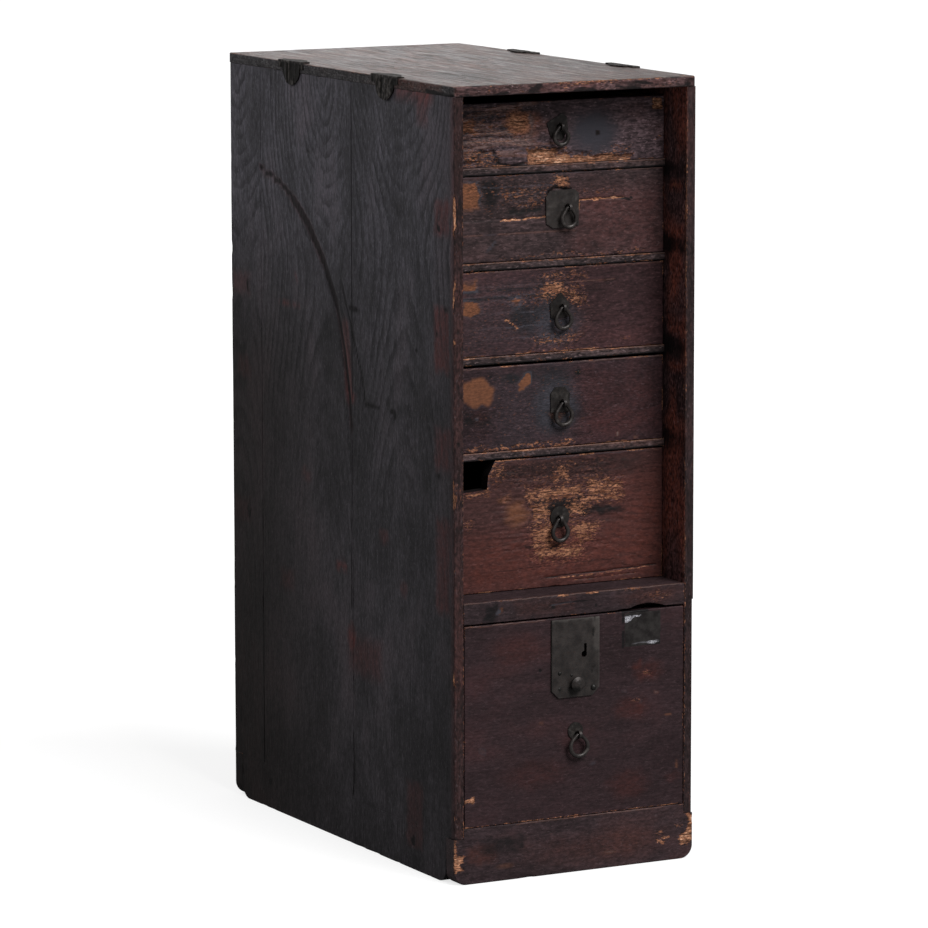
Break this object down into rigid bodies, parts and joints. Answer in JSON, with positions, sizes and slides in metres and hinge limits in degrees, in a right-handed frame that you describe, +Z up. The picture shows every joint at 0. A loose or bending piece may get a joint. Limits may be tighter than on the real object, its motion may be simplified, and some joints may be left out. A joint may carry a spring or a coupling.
{
  "type": "small tansu chest",
  "caption": "Tall narrow tansu chest of lacquered boards on a plinth, with drawers set back behind ring pulls and a lockable drawer at the foot.",
  "frame": {"origin": "on the floor under the middle of the whole chest, the lock's stud included", "axes": "+Z up, +X to the right of someone facing the drawers, the front faces -Y"},
  "size_m": [0.2446, 0.4484, 0.7013],
  "materials": {
    "side_lacquer": "old charcoal lacquer worn thin over long grain, low sheen",
    "top_lacquer": "greyed lacquer over long grain, rubbed at the edges",
    "front_lacquer": "dark red-brown lacquer, satin, worn at the arrises",
    "drawer_lacquer": "dark red-brown lacquer on cross grain, rubbed to raw wood round the pulls",
    "shelf_lacquer": "thin brown lacquer, light worn arris",
    "plain_wood": "unfinished aged softwood, dry",
    "back_wood": "unfinished softwood darkened with age",
    "dark_iron": "forged iron with a dull dark patina"
  },
  "bodies": {
    "case": {"left_side": "side_lacquer", "right_side": "side_lacquer", "top_board": "top_lacquer", "bottom_board": "front_lacquer", "back_boards": "back_wood", "mid_rail": "front_lacquer", "mid_shelf": "plain_wood", "shelf_1": "shelf_lacquer", "shelf_2": "shelf_lacquer", "shelf_3": "shelf_lacquer", "shelf_4": "shelf_lacquer", "plinth_front": "front_lacquer", "plinth_back": "side_lacquer", "plinth_sides": "side_lacquer", "edge_straps": "dark_iron"},
    "drawer_1": {"drawer_1_front": "drawer_lacquer", "drawer_1_sides": "plain_wood", "drawer_1_back": "plain_wood", "drawer_1_floor": "plain_wood", "drawer_1_plate": "dark_iron", "drawer_1_staple": "dark_iron"},
    "ring_1": {"drawer_1_ring": "dark_iron"},
    "drawer_2": {"drawer_2_front": "drawer_lacquer", "drawer_2_sides": "plain_wood", "drawer_2_back": "plain_wood", "drawer_2_floor": "plain_wood", "drawer_2_plate": "dark_iron", "drawer_2_staple": "dark_iron"},
    "ring_2": {"drawer_2_ring": "dark_iron"},
    "drawer_3": {"drawer_3_front": "drawer_lacquer", "drawer_3_sides": "plain_wood", "drawer_3_back": "plain_wood", "drawer_3_floor": "plain_wood", "drawer_3_plate": "dark_iron", "drawer_3_staple": "dark_iron"},
    "ring_3": {"drawer_3_ring": "dark_iron"},
    "drawer_4": {"drawer_4_front": "drawer_lacquer", "drawer_4_sides": "plain_wood", "drawer_4_back": "plain_wood", "drawer_4_floor": "plain_wood", "drawer_4_plate": "dark_iron", "drawer_4_staple": "dark_iron"},
    "ring_4": {"drawer_4_ring": "dark_iron"},
    "drawer_5": {"drawer_5_front": "drawer_lacquer", "drawer_5_sides": "plain_wood", "drawer_5_back": "plain_wood", "drawer_5_floor": "plain_wood", "drawer_5_plate": "dark_iron", "drawer_5_staple": "dark_iron"},
    "ring_5": {"drawer_5_ring": "dark_iron"},
    "drawer_6": {"drawer_6_front": "front_lacquer", "drawer_6_sides": "plain_wood", "drawer_6_back": "plain_wood", "drawer_6_floor": "plain_wood", "drawer_6_plate": "dark_iron", "drawer_6_staple": "dark_iron", "lock_plate": "dark_iron", "lock_case": "dark_iron"},
    "ring_6": {"drawer_6_ring": "dark_iron"},
    "lock_bolt": {"lock_bolt": "dark_iron"}
  },
  "joints": [
    {"name": "drawer_1_slide", "type": "slide", "parent": "case", "child": "drawer_1", "axis": [0, -1, 0], "range_m": [0, 0.3]},
    {"name": "ring_1_swing", "type": "hinge", "parent": "drawer_1", "child": "ring_1", "pos_m": [0.004, -0.18184, 0.6575], "axis": [-1, 0, 0], "range_deg": [-5, 165]},
    {"name": "drawer_2_slide", "type": "slide", "parent": "case", "child": "drawer_2", "axis": [0, -1, 0], "range_m": [0, 0.3]},
    {"name": "ring_2_swing", "type": "hinge", "parent": "drawer_2", "child": "ring_2", "pos_m": [0.012, -0.18184, 0.5865], "axis": [-1, 0, 0], "range_deg": [-5, 165]},
    {"name": "drawer_3_slide", "type": "slide", "parent": "case", "child": "drawer_3", "axis": [0, -1, 0], "range_m": [0, 0.3]},
    {"name": "ring_3_swing", "type": "hinge", "parent": "drawer_3", "child": "ring_3", "pos_m": [0.0065, -0.18184, 0.4985], "axis": [-1, 0, 0], "range_deg": [-5, 165]},
    {"name": "drawer_4_slide", "type": "slide", "parent": "case", "child": "drawer_4", "axis": [0, -1, 0], "range_m": [0, 0.3]},
    {"name": "ring_4_swing", "type": "hinge", "parent": "drawer_4", "child": "ring_4", "pos_m": [0.007, -0.18184, 0.414], "axis": [-1, 0, 0], "range_deg": [-5, 165]},
    {"name": "drawer_5_slide", "type": "slide", "parent": "case", "child": "drawer_5", "axis": [0, -1, 0], "range_m": [0, 0.3]},
    {"name": "ring_5_swing", "type": "hinge", "parent": "drawer_5", "child": "ring_5", "pos_m": [0.0035, -0.18184, 0.311], "axis": [-1, 0, 0], "range_deg": [-5, 165]},
    {"name": "drawer_6_slide", "type": "slide", "parent": "case", "child": "drawer_6", "axis": [0, -1, 0], "range_m": [0, 0.33]},
    {"name": "ring_6_swing", "type": "hinge", "parent": "drawer_6", "child": "ring_6", "pos_m": [0.0015, -0.21984, 0.1245], "axis": [-1, 0, 0], "range_deg": [-5, 165]},
    {"name": "lock_bolt_lift", "type": "slide", "parent": "drawer_6", "child": "lock_bolt", "axis": [0, 0, 1], "range_m": [0, 0.008]}
  ]
}
